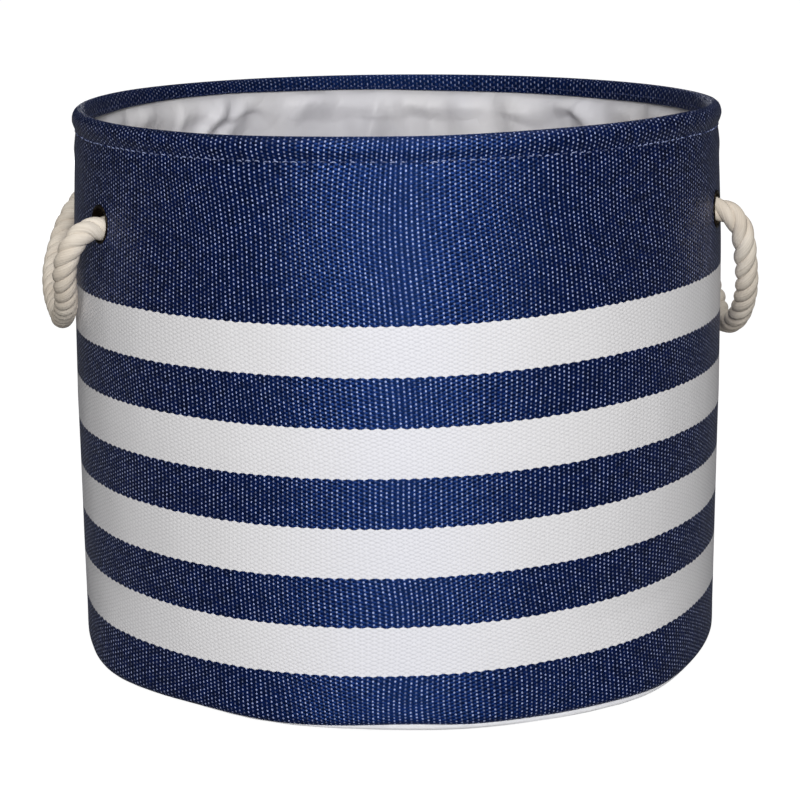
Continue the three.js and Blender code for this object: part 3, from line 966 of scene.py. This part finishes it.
def disc_grid(count):
    """A square grid of points pressed into a round disc of radius 1, without a pole."""
    side = np.linspace(-1, 1, count)
    x, y = np.meshgrid(side, side)
    return np.stack([x * np.sqrt(1 - y ** 2 / 2), y * np.sqrt(1 - x ** 2 / 2)], -1)


def add_disc(name, section, material, wrinkles=0.0, lift=0, flip=False):
    """A round sheet with this section, of (radius, height), bulging like the wall's foot."""
    section = np.array(section)
    grid = disc_grid(DISC_COLUMNS)
    share = np.linalg.norm(grid, axis=-1)
    turn = np.arctan2(grid[..., 1], grid[..., 0])
    steps = distances(section)
    along = share * steps[-1]
    radius = np.interp(along, steps, section[:, 0]) + bulge(turn) * np.clip(share * 3 - 2, 0, 1)
    height = np.interp(along, steps, section[:, 1])
    rising = np.clip((radius - LIFT_START) / LIFT_WIDTH, 0, 1)
    height = height + lift * uneven(EDGE_LIFTS, turn) * rising ** 2 * (3 - 2 * rising)
    if wrinkles:
        folds = FOLDS(turn, 0.2) * np.clip(share * 1.6 - 0.4, 0, 1) * (1 - share ** 8)
        height = height + wrinkles * folds
    points = np.stack([radius * np.cos(turn), radius * np.sin(turn), height], -1)
    faces, _ = grid_faces(DISC_COLUMNS, DISC_COLUMNS, closed=False)
    uv = (grid / 2 + 0.5).reshape(-1, 2)[faces]
    if flip:
        faces, uv = faces[:, ::-1], uv[:, ::-1]
    disc = add_mesh(name, points.reshape(-1, 3), faces, material, uv)
    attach(disc, "basket")
    return disc


def add_lining_floor(material):
    floor = add_disc("lining_floor_cloth", FLOOR_SECTION, material,
                     wrinkles=0.0005)
    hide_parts("lining_floor")


def base_cloth():
    m = Nodes("base_cloth", Roughness=0.85, Sheen_Weight=0.2)
    weave = m.node("ShaderNodeTexChecker", {"Vector": m.place(), "Scale": 900.0}).outputs["Fac"]
    slubs = m.noise(m.place(), 160.0, 3.0)
    colour = m.mix(m.step(slubs, 0.3, 0.7), (0.80, 0.80, 0.83, 1), (0.87, 0.87, 0.89, 1))
    m.bump(m.scaled(weave, 0.3, slubs), 0.0004, 0.7)
    return m.set(Base_Color=colour)


def add_base_panel():
    panel = add_disc("base_cloth_panel", PANEL_SECTION, base_cloth(), lift=1,
                     flip=True)
    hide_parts("base_panel")


# ---- Hidden pieces ---------------------------------------------------

HOOP_COLUMNS, HOOP_SIDES = 240, 12


def plain_stuff(name, dark, light, scale, roughness, metallic=0.0):
    """A finish of two close colours in a fine grain, for pieces inside the wall and base."""
    m = Nodes(name, Roughness=roughness, Metallic=metallic)
    grain = m.noise(m.place(), scale, 4.0)
    m.bump(grain, 0.0003, 0.5)
    return m.set(Base_Color=m.mix(m.step(grain, 0.35, 0.65), dark, light))


def add_hoop():
    """The steel wire inside the hem, which follows the uneven rim."""
    low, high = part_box("rim_hoop")
    wire = (high.z - low.z) / 2
    azimuth = turns(HOOP_COLUMNS)
    angle = (np.arange(HOOP_SIDES) * 2 * math.pi / HOOP_SIDES)[:, None]
    radius = high.x - wire + wire * np.cos(angle)
    height = high.z - wire + wire * np.sin(angle) - rim_drop(azimuth, high.z)[None, :]
    points = ring_points(*np.broadcast_arrays(radius, azimuth[None, :], height))
    faces, _ = grid_faces(HOOP_SIDES + 1, HOOP_COLUMNS)
    faces = faces % (HOOP_SIDES * HOOP_COLUMNS)
    steel = plain_stuff("hoop_steel", (0.35, 0.36, 0.37, 1), (0.52, 0.53, 0.54, 1), 700, 0.35, 1.0)
    hoop = add_mesh("hem_hoop", points.reshape(-1, 3), faces, steel)
    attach(hoop, "basket")
    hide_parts("rim_hoop")


def finish_hidden_nodes():
    finishes = {
        "wall_interlining": ("felt", (0.22, 0.21, 0.20, 1), (0.31, 0.30, 0.28, 1), 500, 0.95),
        "base_board": ("greyboard", (0.20, 0.18, 0.155, 1), (0.29, 0.265, 0.23, 1), 300, 0.9),
        "base_seam_binding": ("tape", (0.02, 0.025, 0.05, 1), (0.04, 0.05, 0.09, 1), 1400, 0.8),
    }
    for node, settings in finishes.items():
        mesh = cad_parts[node].data
        mesh.materials.clear()
        mesh.materials.append(plain_stuff(*settings))


# ---- Stage and light -------------------------------------------------

FLOOR_HALF, FLOOR_GAP = 15, 0.0002
WORLD_SEEN = 1.0  # how bright the camera sees the world
FLOOR_COLOUR = 0.14
FLOOR_GLOW, FLOOR_GLOW_UNSEEN = 0.95, 0.035  # extra light that only the camera sees, and the rest


def add_floor():
    """A pale floor that looks white, like cut-out product photos, but throws little light up."""
    m = Nodes("pale_floor", Roughness=0.9, Specular_IOR_Level=0.0)
    m.shader.inputs["Base Color"].default_value = (FLOOR_COLOUR,) * 3 + (1,)
    m.shader.inputs["Emission Color"].default_value = (1, 1, 1, 1)
    seen = m.node("ShaderNodeLightPath").outputs["Is Camera Ray"]
    m.set(Emission_Strength=m.scaled(seen, FLOOR_GLOW - FLOOR_GLOW_UNSEEN, FLOOR_GLOW_UNSEEN))
    mesh = bpy.data.meshes.new("floor")
    corners = [(x * FLOOR_HALF, y * FLOOR_HALF, -FLOOR_GAP)
               for x, y in ((-1, -1), (1, -1), (1, 1), (-1, 1))]
    mesh.from_pydata(corners, [], [(0, 1, 2, 3)])
    mesh.materials.append(m.material)
    add_object("floor", mesh)


def add_world():
    """A soft dim dome, brighter overhead, that looks white to the camera."""
    world = bpy.data.worlds.new("studio")
    world.use_nodes = True
    bpy.context.scene.world = world
    nodes, links = world.node_tree.nodes, world.node_tree.links
    parts = nodes.new("ShaderNodeSeparateXYZ")
    links.new(nodes.new("ShaderNodeTexCoord").outputs["Generated"], parts.inputs[0])
    ramp = nodes.new("ShaderNodeMapRange")
    ramp.interpolation_type = "SMOOTHSTEP"
    for socket, value in {"From Min": 0.6, "From Max": 1.0, "To Min": 0.02, "To Max": 1.4}.items():
        ramp.inputs[socket].default_value = value
    links.new(parts.outputs["Z"], ramp.inputs["Value"])
    strength = nodes.new("ShaderNodeMix")
    strength.inputs["B"].default_value = WORLD_SEEN
    links.new(nodes.new("ShaderNodeLightPath").outputs["Is Camera Ray"], strength.inputs["Factor"])
    links.new(ramp.outputs[0], strength.inputs["A"])
    links.new(strength.outputs["Result"], nodes["Background"].inputs["Strength"])
    nodes["Background"].inputs["Color"].default_value = (1, 1, 1, 1)


LIGHT_TARGET = Vector((0, 0, 0.16))


def add_softbox(name, azimuth, elevation, distance, size, power):
    """A square soft light aimed at the basket's middle, azimuth 0 from straight in front."""
    turn, rise = math.radians(azimuth), math.radians(elevation)
    towards = Vector((math.sin(turn) * math.cos(rise), -math.cos(turn) * math.cos(rise),
                      math.sin(rise)))
    data = bpy.data.lights.new(name, "AREA")
    data.size, data.energy = size, power
    lamp = add_object(name, data)
    lamp.location = LIGHT_TARGET + towards * distance
    lamp.rotation_euler = towards.to_track_quat("Z", "Y").to_euler()


def add_lights():
    add_world()
    add_softbox("key", azimuth=-4.5, elevation=18, distance=2.4, size=1.0, power=49)
    add_softbox("back_fill", azimuth=180, elevation=0, distance=2.4, size=0.6, power=24)
    bpy.context.scene.view_settings.view_transform = "Standard"


# ---- Assembly --------------------------------------------------------

rope_material = cotton_rope()
add_handles(rope_material)
add_eyelets(antique_brass())
add_outer_wall(woven_cloth())
add_all_stitches()
satin = lining_satin()
add_lining_wall(satin)
add_lining_floor(satin)
add_base_panel()
add_hoop()
finish_hidden_nodes()
add_floor()
add_lights()
